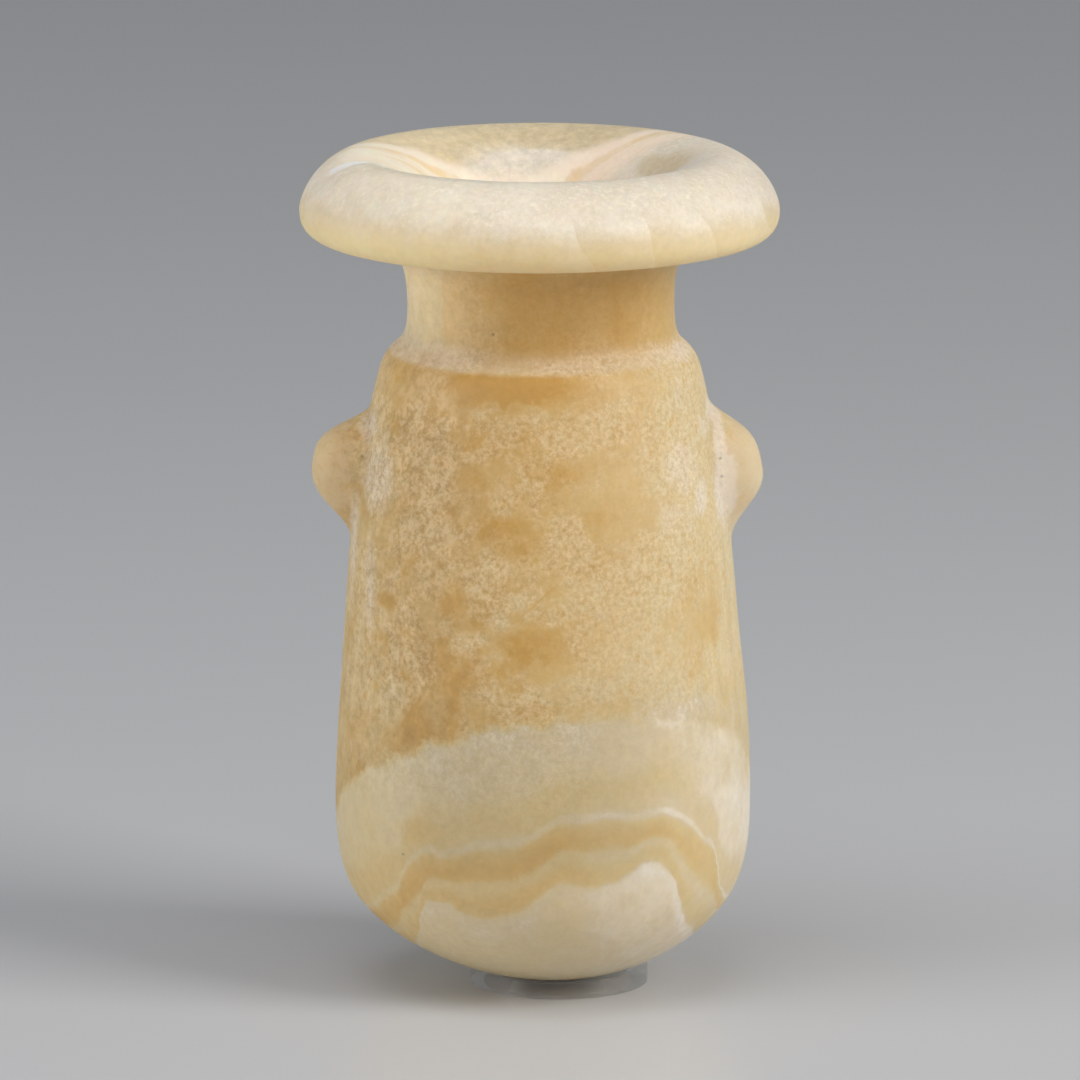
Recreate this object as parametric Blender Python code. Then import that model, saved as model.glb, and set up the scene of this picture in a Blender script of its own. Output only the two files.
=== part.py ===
"""Handled alabaster vase on a clear display ring.

The vase is one drilled and carved stone: a broad rolled rim with a dished mouth, a short neck,
a long body that swells towards a round bottom, and two solid lug handles near the shoulder.
A round bottom cannot stand, so the stone sits in a low clear ring.

Metres, +Z up. The origin is on the table, under the middle of the rim, and +X runs from
lug to lug. Heights of the vase are counted from its own underside.
"""

import math
from dataclasses import dataclass

import bmesh
import bpy
from mathutils import Vector
from mathutils.geometry import interpolate_bezier

# The stone, outside
BILGE_RADIUS = 0.0339
BILGE_HEIGHT = 0.0133
BELLY_RADIUS = 0.0409
BELLY_HEIGHT = 0.0361
FLANK_RADIUS = 0.0389
FLANK_HEIGHT = 0.0700
SHOULDER_RADIUS = 0.0316
SHOULDER_HEIGHT = 0.1219
COLLAR_RADIUS = 0.0278
COLLAR_HEIGHT = 0.12755
NECK_RADIUS = 0.0262
NECK_HEIGHT = 0.1344
NECK_TOP_RADIUS = 0.0269
NECK_TOP_HEIGHT = 0.1421
RIM_RADIUS = 0.0470
RIM_HEIGHT = 0.1536
RIM_UNDERSIDE_RADIUS = 0.0343
RIM_UNDERSIDE_HEIGHT = 0.1480
CREST_RADIUS = 0.0355
CREST_HEIGHT = 0.1647

# The stone, inside
BORE_RADIUS = 0.0180
THROAT_HEIGHT = 0.1490
BORE_FOOT_HEIGHT = 0.1280
WALL = 0.0075
FLOOR_THICKNESS = 0.0100

# How the stone's axis wanders off plumb, towards +X going down
LEAN = 0.0070
BASE_SWING = 0.0018
BASE_SWING_HEIGHT = 0.0200
NECK_SWING = 0.0003
NECK_SWING_HEIGHT = 0.1330
NECK_SWING_SPAN = 0.0220

# The lugs
LUG_HALF_THICKNESS = 0.0105
LUG_TIP_NARROWING = 0.5
LUG_SIDE_SHARPNESS = 1.4

# The clear ring and how it holds the stone
RING_RADIUS = 0.0176
RING_WALL = 0.0030
RING_OFFSET = 0.0040
RING_EDGE = 0.0003
LIFT = 0.0012
SEAT_GAP = 0.0003

# How finely the shapes are cut
COLUMNS = 52
LUG_CROWDING = 0.5
RING_COLUMNS = 40
SHARP_ANGLE = math.radians(40)


@dataclass(frozen=True)
class Knot:
    """A point of a turned outline, with the way it heads there (degrees: 0 out, 90 up, 180 in),
    how far it keeps to that heading before and after, and the rows cut from it to the next."""

    radius: float
    height: float
    heading: float
    reach_in: float
    reach_out: float
    rows: int


@dataclass(frozen=True)
class Lug:
    """A solid rounded handle, carved from the wall: its bearing in degrees, how far its nose
    stands out and at what height, and how far and how sharply it fades above and below."""

    bearing: float
    reach: float
    nose: float
    above: float
    below: float
    sharp_above: float
    sharp_below: float


LUGS = (
    Lug(180.0, 0.0094, 0.1042, 0.0102, 0.0162, 1.60, 1.34),
    Lug(0.0, 0.0079, 0.1020, 0.0137, 0.0145, 2.00, 1.05),
)


def outside_knots():
    """From the middle of the underside, up the body and neck, to the crest of the rim."""
    return (
        Knot(0.0, 0.0, 0.0, 0.0, 0.0122, 7),
        Knot(BILGE_RADIUS, BILGE_HEIGHT, 45.5, 0.0122, 0.0071, 4),
        Knot(BELLY_RADIUS, BELLY_HEIGHT, 90.0, 0.0127, 0.0121, 6),
        Knot(FLANK_RADIUS, FLANK_HEIGHT, 95.0, 0.0114, 0.0180, 20),
        Knot(SHOULDER_RADIUS, SHOULDER_HEIGHT, 104.0, 0.0224, 0.0037, 4),
        Knot(COLLAR_RADIUS, COLLAR_HEIGHT, 134.0, 0.0015, 0.0022, 3),
        Knot(NECK_RADIUS, NECK_HEIGHT, 90.0, 0.0019, 0.0025, 2),
        Knot(NECK_TOP_RADIUS, NECK_TOP_HEIGHT, 76.0, 0.0025, 0.0035, 4),
        Knot(RIM_UNDERSIDE_RADIUS, RIM_UNDERSIDE_HEIGHT, 8.0, 0.0035, 0.0026, 5),
        Knot(RIM_RADIUS, RIM_HEIGHT, 90.0, 0.0078, 0.0042, 5),
        Knot(CREST_RADIUS, CREST_HEIGHT, 180.0, 0.0063, 0.0060, 0),
    )


def inside_knots():
    """From the crest of the rim, down the dished mouth and the bore, to the middle of the floor."""
    return (
        Knot(CREST_RADIUS, CREST_HEIGHT, 180.0, 0.0063, 0.0065, 6),
        Knot(BORE_RADIUS, THROAT_HEIGHT, 270.0, 0.0080, 0.0080, 3),
        Knot(BORE_RADIUS + 0.0006, BORE_FOOT_HEIGHT, 305.0, 0.0040, 0.0090, 7),
        Knot(BELLY_RADIUS - WALL, BELLY_HEIGHT, 270.0, 0.0500, 0.0110, 6),
        Knot(0.0, FLOOR_THICKNESS, 180.0, 0.0170, 0.0, 0),
    )


def outline(knots):
    """The (radius, height) points of a smooth turned outline through the knots."""
    points = []
    for here, there in zip(knots, knots[1:]):
        leaving = Vector((math.cos(math.radians(here.heading)), math.sin(math.radians(here.heading))))
        arriving = Vector((math.cos(math.radians(there.heading)), math.sin(math.radians(there.heading))))
        start = Vector((here.radius, here.height))
        end = Vector((there.radius, there.height))
        curve = interpolate_bezier(
            start,
            start + leaving * here.reach_out,
            end - arriving * there.reach_in,
            end,
            here.rows + 1,
        )
        points.extend((point.x, point.y) for point in curve[:-1])
    points.append((knots[-1].radius, knots[-1].height))
    return points


def bell(distance, sharpness):
    """1 in the middle, falling smoothly to 0 at a distance of 1."""
    return 0.5 * (1.0 + math.cos(math.pi * min(distance, 1.0) ** sharpness))


def axis_shift(height):
    """How far the stone's axis stands from plumb, in X, at this height."""
    low = max(0.0, 1.0 - height / BASE_SWING_HEIGHT)
    high = bell(abs(height - NECK_SWING_HEIGHT) / NECK_SWING_SPAN, 1.0)
    return LEAN * (CREST_HEIGHT - height) + BASE_SWING * low**2 + NECK_SWING * high


def lug_relief(bearing, radius, height):
    """How far the lugs stand out of the wall at this bearing (radians) and height."""
    relief = 0.0
    for lug in LUGS:
        turn = math.remainder(bearing - math.radians(lug.bearing), math.tau)
        rising = height > lug.nose
        span = lug.above if rising else lug.below
        sharpness = lug.sharp_above if rising else lug.sharp_below
        along = bell(abs(height - lug.nose) / span, sharpness)
        half_thickness = LUG_HALF_THICKNESS * (1.0 - LUG_TIP_NARROWING * (1.0 - along))
        across = bell(abs(turn) * radius / half_thickness, LUG_SIDE_SHARPNESS)
        relief += lug.reach * along * across
    return relief


def crowded_bearings(columns):
    """Bearings round the axis, closer together at the two lugs, on the X axis."""
    even = (math.tau * column / columns for column in range(columns))
    return [bearing - 0.5 * LUG_CROWDING * math.sin(2.0 * bearing) for bearing in even]


def join_rows(mesh, lower, upper):
    """Faces between two rows of vertices. A row of one vertex is a point on the axis."""
    count = max(len(lower), len(upper))
    for column in range(count):
        after = (column + 1) % count
        corners = [lower[column % len(lower)], lower[after % len(lower)]]
        corners += [upper[after % len(upper)], upper[column % len(upper)]]
        mesh.faces.new(list(dict.fromkeys(corners)))


def new_object(name, mesh, material):
    """An object in the scene from a bmesh, shaded smooth with its real edges kept sharp."""
    bmesh.ops.recalc_face_normals(mesh, faces=mesh.faces)
    data = bpy.data.meshes.new(name)
    mesh.to_mesh(data)
    mesh.free()
    data.materials.append(material)
    data.shade_smooth()
    data.set_sharp_from_angle(angle=SHARP_ANGLE)
    made = bpy.data.objects.new(name, data)
    bpy.context.scene.collection.objects.link(made)
    return made


def plain_material(name, colour, roughness, **inputs):
    """A Principled material of one colour. Further inputs are given by name."""
    material = bpy.data.materials.new(name)
    material.use_nodes = True
    shader = material.node_tree.nodes["Principled BSDF"]
    shader.inputs["Base Color"].default_value = (*colour, 1.0)
    shader.inputs["Roughness"].default_value = roughness
    shader.inputs["Metallic"].default_value = 0.0
    for socket, value in inputs.items():
        shader.inputs[socket.replace("_", " ")].default_value = value
    return material


def make_vase():
    """The stone: its outside, over the crest and down to the floor inside, as one closed skin."""
    mesh = bmesh.new()
    bearings = crowded_bearings(COLUMNS)
    outside = outline(outside_knots())
    inside = outline(inside_knots())[1:]
    rows = []
    for place, (radius, height) in enumerate(outside + inside):
        outer = place < len(outside)
        centre = Vector((axis_shift(height), 0.0, height + LIFT))
        if radius == 0.0:
            rows.append([mesh.verts.new(centre)])
            continue
        row = []
        for bearing in bearings:
            reach = radius + (lug_relief(bearing, radius, height) if outer else 0.0)
            spoke = Vector((math.cos(bearing), math.sin(bearing), 0.0))
            row.append(mesh.verts.new(centre + spoke * reach))
        rows.append(row)
    for lower, upper in zip(rows, rows[1:]):
        join_rows(mesh, lower, upper)
    alabaster = plain_material("alabaster", (0.74, 0.58, 0.34), 0.45)
    return new_object("vase", mesh, alabaster)


def underside_height(radius):
    """The height of the stone's round underside at this distance from its axis."""
    dome = outline(outside_knots())
    for (inner, low), (outer, high) in zip(dome, dome[1:]):
        if inner <= radius <= outer:
            return low + (high - low) * (radius - inner) / (outer - inner)
    raise ValueError("no underside at this radius")


def seat_height(radius):
    """The height of the ring's dished top: under the stone where the stone hangs lowest."""
    nearest = radius - (RING_OFFSET - axis_shift(0.0))
    return LIFT + underside_height(nearest) - SEAT_GAP


def make_ring():
    """The clear ring: a short length of tube, its top dished to take the round bottom."""
    mesh = bmesh.new()
    bore = RING_RADIUS - RING_WALL
    section = (
        (bore, 0.0),
        (RING_RADIUS, 0.0),
        (RING_RADIUS, seat_height(RING_RADIUS)),
        (bore, seat_height(bore)),
    )
    rows = []
    for radius, height in section:
        row = []
        for column in range(RING_COLUMNS):
            bearing = math.tau * column / RING_COLUMNS
            spot = (RING_OFFSET + radius * math.cos(bearing), radius * math.sin(bearing), height)
            row.append(mesh.verts.new(spot))
        rows.append(row)
    for lower, upper in zip(rows, rows[1:] + rows[:1]):
        join_rows(mesh, lower, upper)
    acrylic = plain_material("clear_acrylic", (0.95, 0.97, 0.98), 0.05, Transmission_Weight=1.0, IOR=1.49)
    ring = new_object("display_ring", mesh, acrylic)
    edge = ring.modifiers.new("eased_edges", "BEVEL")
    edge.width = RING_EDGE
    edge.segments = 2
    edge.limit_method = "ANGLE"
    edge.angle_limit = SHARP_ANGLE
    return ring


def main():
    for old in list(bpy.data.objects):
        bpy.data.objects.remove(old)
    make_vase()
    make_ring()


main()
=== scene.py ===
"""The handled alabaster vase on its clear display ring, in its own finishes.

Metres, +Z up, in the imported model's frame: the origin is on the table, under the middle of the
rim, and +X runs from lug to lug. The stone is one closed skin with the hand-cut unevenness of the
real thing, and its layers, veins and weathering are worked out inside the stone, in millimetres
from the middle of its underside, so that they agree on every side of it.
"""

import math
from dataclasses import dataclass

import bmesh
import bpy
from bpy.props import FloatProperty, FloatVectorProperty, IntProperty, PointerProperty
from bpy.types import Operator, Panel, PropertyGroup
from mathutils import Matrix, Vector, noise
from mathutils.geometry import interpolate_bezier


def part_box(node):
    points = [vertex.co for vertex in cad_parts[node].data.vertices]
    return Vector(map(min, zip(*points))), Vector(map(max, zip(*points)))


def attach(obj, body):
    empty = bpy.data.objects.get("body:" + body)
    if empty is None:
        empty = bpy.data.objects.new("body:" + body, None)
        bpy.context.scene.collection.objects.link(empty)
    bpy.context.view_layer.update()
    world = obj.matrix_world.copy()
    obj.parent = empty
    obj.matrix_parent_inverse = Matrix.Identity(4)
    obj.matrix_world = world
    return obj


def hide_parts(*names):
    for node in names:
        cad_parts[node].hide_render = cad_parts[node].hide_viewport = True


bl_info = {
    "name": "Handled alabaster vase",
    "version": (1, 0, 0),
    "blender": (4, 5, 0),
    "location": "View3D > Sidebar > Alabaster Vase",
    "description": "Carves the vase, cuts its clear ring and sets the stage round them",
    "category": "Add Mesh",
}

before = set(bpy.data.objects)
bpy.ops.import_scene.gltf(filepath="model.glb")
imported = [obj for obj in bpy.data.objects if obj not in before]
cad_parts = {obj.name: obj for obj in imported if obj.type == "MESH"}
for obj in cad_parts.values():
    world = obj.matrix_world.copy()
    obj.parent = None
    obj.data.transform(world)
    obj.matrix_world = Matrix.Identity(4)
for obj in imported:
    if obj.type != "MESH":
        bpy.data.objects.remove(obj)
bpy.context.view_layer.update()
STONE_LOW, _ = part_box("vase")
RING_LOW, RING_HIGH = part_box("display_ring")
LIFT = STONE_LOW.z

# The stone, outside
BILGE_RADIUS = 0.0339
BILGE_HEIGHT = 0.0133
BELLY_RADIUS = 0.0409
BELLY_HEIGHT = 0.0361
FLANK_RADIUS = 0.0389
FLANK_HEIGHT = 0.0700
SHOULDER_RADIUS = 0.0316
SHOULDER_HEIGHT = 0.1219
COLLAR_RADIUS = 0.0278
COLLAR_HEIGHT = 0.12755
NECK_RADIUS = 0.0262
NECK_HEIGHT = 0.1344
NECK_TOP_RADIUS = 0.0269
NECK_TOP_HEIGHT = 0.1421
RIM_RADIUS = 0.0470
RIM_HEIGHT = 0.1536
RIM_UNDERSIDE_RADIUS = 0.0343
RIM_UNDERSIDE_HEIGHT = 0.1480
CREST_RADIUS = 0.0355
CREST_HEIGHT = 0.1647

# The stone, inside
BORE_RADIUS = 0.0180
THROAT_HEIGHT = 0.1490
BORE_FOOT_HEIGHT = 0.1280
WALL = 0.0075
BORE_FLARE = 0.0006
FLOOR_THICKNESS = 0.0100

# The unevenness of the cut surface: long waves, and smaller facets
WAVES_PER_METRE = 28.0
FACETS_PER_METRE = 95.0
FACETS_START = Vector((7.0, 3.0, 5.0))
FACET_SHARE = 0.35

# How the stone's axis wanders off plumb, towards +X going down
LEAN = 0.0070
BASE_SWING = 0.0018
BASE_SWING_HEIGHT = 0.0200
NECK_SWING = 0.0003
NECK_SWING_HEIGHT = 0.1330
NECK_SWING_SPAN = 0.0220

# The lugs
LUG_HALF_THICKNESS = 0.0105
LUG_TIP_NARROWING = 0.5
LUG_SIDE_SHARPNESS = 1.4
LUG_CROWDING = 0.5

# The rim is worn down at the left, in a dip behind a crisp edge: along the crest of the lip, then
# straight out to the rim's side
WEAR_DEPTH = 0.00125
WEAR_STEP = 0.0016
WEAR_DIP = 0.0050
WEAR_END = 0.0190
WEAR_CREST = 0.0343
WEAR_LINE = -0.0122
WEAR_FULL = -0.0360
WEAR_NONE = -0.0140
WEAR_FOOT = 0.1535
WEAR_TOP = 0.1625

# How the clear ring meets the stone, and how its corners are eased
SEAT_GAP = 0.0003
CORNER_STEPS = 4
CORNER_FULLNESS = 0.55

# How far a finished piece may stand out of its solid's box
LEEWAY = 0.0020

# The stage
FLOOR_REACH = 9.0
FLOOR_SHADE_SIZE = 300.0
SKY_COLOUR = (0.93, 0.96, 1.0)

# The camera looks a little down on the vase from far off
CAMERA_DISTANCE = 2.5
CAMERA_PITCH = math.radians(11.2)
CAMERA_AIM = Vector((0.0003, 0.0, 0.0875 + LIFT))
FRAME_WIDTH = 0.2124
SENSOR_WIDTH = 0.036
NEAREST_SEEN = 0.1
FURTHEST_SEEN = 30.0


@dataclass(frozen=True)
class Knot:
    """A point of a turned outline, with the way it heads there (degrees: 0 out, 90 up, 180 in),
    how far it keeps to that heading before and after, and the rows cut from it to the next."""

    radius: float
    height: float
    heading: float
    reach_in: float
    reach_out: float
    rows: int


@dataclass(frozen=True)
class Lug:
    """A solid rounded handle, carved from the wall: its bearing in degrees, how far its nose
    stands out and at what height, and how far and how sharply it fades above and below."""

    bearing: float
    reach: float
    nose: float
    above: float
    below: float
    sharp_above: float
    sharp_below: float


LUGS = (
    Lug(180.0, 0.0094, 0.1042, 0.0102, 0.0162, 1.60, 1.34),
    Lug(0.0, 0.0079, 0.1020, 0.0137, 0.0145, 2.00, 1.05),
)


@dataclass(frozen=True)
class Lamp:
    """A soft square light: its size, where it hangs and its colour."""

    size: float
    place: tuple
    colour: tuple


LAMPS = {
    "key": Lamp(0.9, (1.35, -0.75, 0.95), (1.0, 0.97, 0.93)),
    "top": Lamp(1.0, (-0.2, -0.5, 1.5), (1.0, 1.0, 1.0)),
    "fill": Lamp(1.2, (-1.5, -0.6, 0.35), (0.98, 0.98, 1.0)),
}


# ---------------------------------------------------------------- what a user would change


def colour_property(name, description, default):
    """A colour that a user can change."""
    return FloatVectorProperty(name=name, description=description, default=default, subtype="COLOR")


def length_property(name, description, default, least, most):
    """A length that a user can change."""
    limits = {"min": least, "max": most}
    return FloatProperty(name=name, description=description, default=default, unit="LENGTH", **limits)


def power_property(name, description, default):
    """A light's power that a user can change."""
    return FloatProperty(name=name, description=description, default=default, min=0.0, unit="POWER")


def count_property(name, description, default, least, most):
    """A number of parts that a user can change."""
    return IntProperty(name=name, description=description, default=default, min=least, max=most)


class StoneSettings(PropertyGroup):
    """The vase: how finely it is cut, and the colours of its layers."""

    columns: count_property("Columns", "Faces round the stone", 300, 48, 320)
    unevenness: length_property(
        "Unevenness", "How far the hand-cut surface wanders from a true turned one", 0.0003, 0.0, 0.002
    )
    glow: FloatProperty(
        name="Glow",
        description="Share of the light that travels inside the stone",
        default=0.70,
        min=0.0,
        max=1.0,
        subtype="FACTOR",
    )
    glow_depth: length_property("Glow depth", "How far light travels inside the stone", 0.010, 0.0, 0.05)
    ivory: colour_property("Ivory", "Stone with next to no iron in it", (0.85, 0.775, 0.65))
    pale_cream: colour_property("Pale cream", "Stone with little iron in it", (0.72, 0.60, 0.405))
    cream: colour_property("Cream", "Stone with some iron in it", (0.70, 0.56, 0.31))
    honey: colour_property("Honey", "The clear stone of the body", (0.69, 0.506, 0.24))
    deep_honey: colour_property("Deep honey", "Stone rich in iron", (0.66, 0.445, 0.175))
    amber: colour_property("Amber", "The stone with most iron in it", (0.60, 0.36, 0.105))
    rose: colour_property("Rose", "The pale rose layer in the mouth", (0.84, 0.68, 0.55))
    bloom: colour_property("Bloom", "The pale bloom of weathered stone", (0.80, 0.69, 0.545))
    # the white of the worn rim edge, partly wear and partly a painted highlight
    bruise_and_highlight: colour_property("Bruised", "The white along the rim's worn edge", (1.0, 0.97, 0.92))


class RingSettings(PropertyGroup):
    """The clear ring under the stone."""

    columns: count_property("Columns", "Faces round the ring", 160, 32, 400)
    wall: length_property("Wall", "Thickness of the ring's wall", 0.0030, 0.001, 0.01)
    edge: length_property("Edge", "Radius of the ring's eased edges", 0.0003, 0.0, 0.001)
    tint: colour_property("Tint", "Colour of the clear ring", (0.95, 0.97, 0.98))


class StageSettings(PropertyGroup):
    """The floor, the lights and the camera."""

    floor_colour: colour_property("Floor", "Colour of the pale floor", (0.66, 0.67, 0.69))
    key_power: power_property("Key", "Power of the main soft light", 21.5)
    top_power: power_property("Top", "Power of the soft light overhead", 6.0)
    fill_power: power_property("Fill", "Power of the weak light on the left", 13.5)
    sky: FloatProperty(name="Sky", description="Brightness of the room", default=0.22, min=0.0)


# ---------------------------------------------------------------- finishes


class Value:
    """A number or a colour in a finish's nodes. Sums, products and the like add its Math nodes."""

    def __init__(self, finish, socket):
        self.finish = finish
        self.socket = socket

    def maths(self, operation, *operands):
        return self.finish.node("ShaderNodeMath", {"operation": operation}, dict(enumerate(operands)))

    def fraction(self):
        return self.maths("FRACT", self)

    def __add__(self, other):
        return self.maths("ADD", self, other)

    def __radd__(self, other):
        return self.maths("ADD", other, self)

    def __sub__(self, other):
        return self.maths("SUBTRACT", self, other)

    def __rsub__(self, other):
        return self.maths("SUBTRACT", other, self)

    def __mul__(self, other):
        return self.maths("MULTIPLY", self, other)

    def __rmul__(self, other):
        return self.maths("MULTIPLY", other, self)

    def __truediv__(self, other):
        return self.maths("DIVIDE", self, other)

    def __abs__(self):
        return self.maths("ABSOLUTE", self)

    def at_most(self, other, blend=0.0):
        return self.maths("SMOOTH_MIN", self, other, blend)

    def at_least(self, other, blend=0.0):
        return self.maths("SMOOTH_MAX", self, other, blend)

    def times_plus(self, factor, addend):
        return self.maths("MULTIPLY_ADD", self, factor, addend)

    def ease(self, low, high, start, end):
        """The start value up to low, then a smooth change to the end value at high."""
        limits = {"Value": self, "From Min": low, "From Max": high, "To Min": start, "To Max": end}
        return self.finish.node("ShaderNodeMapRange", {"interpolation_type": "SMOOTHSTEP"}, limits)

    def rise(self, low, high):
        """0 up to low, then a smooth rise to 1 at high."""
        return self.ease(low, high, 0.0, 1.0)

    def fall(self, low, high):
        """1 up to low, then a smooth fall to 0 at high."""
        return self.ease(low, high, 1.0, 0.0)

    def towards(self, other, share):
        """This value where the share is 0, the other where it is 1."""
        return self + share * (other - self)

    def band(self, middle, half_width, softness):
        """1 within half_width of the middle, fading to 0 over the softness beyond it."""
        return abs(self - middle).fall(half_width, half_width + softness)


class Finish:
    """A material made of nodes, round one Principled shader."""

    def __init__(self, name):
        self.material = bpy.data.materials.new(name)
        self.material.use_nodes = True
        self.tree = self.material.node_tree
        self.shader = self.tree.nodes["Principled BSDF"]

    def node(self, kind, settings=None, values=None, output=0):
        """Adds a node: its settings, then the values or links of its sockets. Returns an output."""
        made = self.tree.nodes.new(kind)
        for name, setting in (settings or {}).items():
            if name == "stops":
                self.set_stops(made.color_ramp, setting)
            elif name == "points":
                self.set_points(made.mapping, setting)
            else:
                setattr(made, name, setting)
        for name, value in (values or {}).items():
            self.feed(made.inputs[name], value)
        return Value(self, made.outputs[output])

    def set_stops(self, ramp, stops):
        """Gives a colour ramp its stops, each a place from 0 to 1 and a colour."""
        while len(ramp.elements) < len(stops):
            ramp.elements.new(0.5)
        for element, (place, colour) in zip(ramp.elements, stops):
            element.position = place
            element.color = (*colour, 1.0)

    def set_points(self, mapping, points):
        """Gives a float curve its points, in order."""
        curve = mapping.curves[0]
        while len(curve.points) < len(points):
            curve.points.new(0.5, 0.5)
        for point, place in zip(curve.points, points):
            point.location = place
        mapping.update()

    def feed(self, socket, value):
        """Links a socket, or sets it where the value is the same all over."""
        if isinstance(value, Value):
            self.tree.links.new(value.socket, socket)
        elif socket.type == "RGBA":
            socket.default_value = (*value, 1.0)
        else:
            socket.default_value = value

    def shade(self, **inputs):
        """Sets or links inputs of the Principled shader, named with _ for each space."""
        for name, value in inputs.items():
            self.feed(self.shader.inputs[name.replace("_", " ")], value)

    def millimetres(self, lowest):
        """Places in the piece, in millimetres, from its origin raised to the lowest point."""
        place = self.node("ShaderNodeTexCoord", output="Object")
        raised = self.vector("SUBTRACT", place, (0.0, 0.0, lowest))
        return self.vector("SCALE", raised, Scale=1000.0)

    def parts(self, vector):
        """The three numbers of a vector."""
        return [self.node("ShaderNodeSeparateXYZ", None, {0: vector}, axis) for axis in "XYZ"]

    def vector(self, operation, *vectors, output=0, **numbers):
        """A vector sum, scaling and the like."""
        values = {**dict(enumerate(vectors)), **numbers}
        return self.node("ShaderNodeVectorMath", {"operation": operation}, values, output)

    def cloud(self, place, size, detail=2.0, roughness=0.5, output="Fac"):
        """Cloudy noise from 0 to 1, with lumps of about this size in millimetres."""
        values = {"Vector": place, "Scale": 1.0 / size, "Detail": detail, "Roughness": roughness}
        return self.node("ShaderNodeTexNoise", {"noise_dimensions": "3D"}, values, output)

    def ripple(self, place, size, detail=2.0, roughness=0.5):
        """The same noise, from -0.5 to 0.5."""
        return self.cloud(place, size, detail, roughness) - 0.5

    def stirred(self, place, size, reach, detail=1.0):
        """The places pushed about by up to this many millimetres, in swirls of this size."""
        push = self.vector("SUBTRACT", self.cloud(place, size, detail, output="Color"), (0.5, 0.5, 0.5))
        return self.vector("MULTIPLY_ADD", push, (2.0 * reach,) * 3, place)

    def blend(self, share, first, second):
        """A colour between the first and the second."""
        settings = {"data_type": "RGBA", "clamp_factor": True}
        return self.node("ShaderNodeMix", settings, {0: share, 6: first, 7: second}, 2)

    def bump(self, height, depth):
        """A surface normal that follows a height from 0 to 1, this deep in metres."""
        return self.node("ShaderNodeBump", None, {"Height": height, "Distance": depth})


# The foot's layers follow two folded seams. Each runs through these heights across the stone, in
# millimetres. The upper seam is the darkest vein, and the lower one bounds the cream under it.
SEAM_REACH = 45.0
SEAM_TOP = 50.0
UPPER_SEAM = (
    (-45.0, 16.0),
    (-34.0, 17.0),
    (-30.5, 20.0),
    (-27.6, 22.5),
    (-26.2, 26.5),
    (-24.5, 29.3),
    (-21.6, 31.2),
    (-18.7, 30.6),
    (-15.7, 30.9),
    (-11.0, 32.0),
    (-6.9, 32.7),
    (-1.0, 34.2),
    (2.0, 35.7),
    (5.0, 37.1),
    (9.5, 37.3),
    (15.2, 38.1),
    (19.7, 37.9),
    (25.0, 38.6),
    (28.5, 36.6),
    (31.5, 33.2),
    (34.2, 30.0),
    (35.2, 25.0),
    (36.2, 20.5),
    (39.0, 17.0),
    (45.0, 15.0),
)
LOWER_SEAM = (
    (-45.0, 6.0),
    (-30.0, 7.0),
    (-24.0, 11.0),
    (-22.8, 16.0),
    (-21.8, 22.3),
    (-18.0, 22.8),
    (-14.9, 20.1),
    (-7.7, 19.0),
    (-1.5, 21.8),
    (4.2, 26.4),
    (9.3, 25.7),
    (14.5, 26.5),
    (18.6, 28.7),
    (22.1, 30.4),
    (24.9, 29.2),
    (27.2, 23.6),
    (28.2, 19.5),
    (29.8, 15.5),
    (34.0, 10.0),
    (45.0, 6.0),
)

# How rich in iron the layers are, 0 for ivory and 1 for amber, from 10 mm below the lower seam
# (-1) by the lower seam (0) and the upper one (1) to 30 mm above it (4)
LAYERS = (
    (-1.0, 0.30),
    (-0.4, 0.28),
    (-0.10, 0.22),
    (0.02, 0.26),
    (0.12, 0.54),
    (0.24, 0.62),
    (0.36, 0.58),
    (0.46, 0.50),
    (0.54, 0.45),
    (0.61, 0.50),
    (0.69, 0.70),
    (0.80, 0.78),
    (0.92, 0.73),
    (1.05, 0.66),
    (1.12, 0.58),
    (1.20, 0.36),
    (1.28, 0.28),
    (1.40, 0.43),
    (1.85, 0.45),
    (2.20, 0.32),
    (2.80, 0.24),
    (4.00, 0.22),
)


@dataclass(frozen=True)
class Stain:
    """A soft patch in the stone: its middle and its reach along each axis, in millimetres, how
    much iron it adds, or takes away below 0, and how ragged its edge is."""

    middle: tuple
    reach: tuple
    iron: float
    ragged: float


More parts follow.
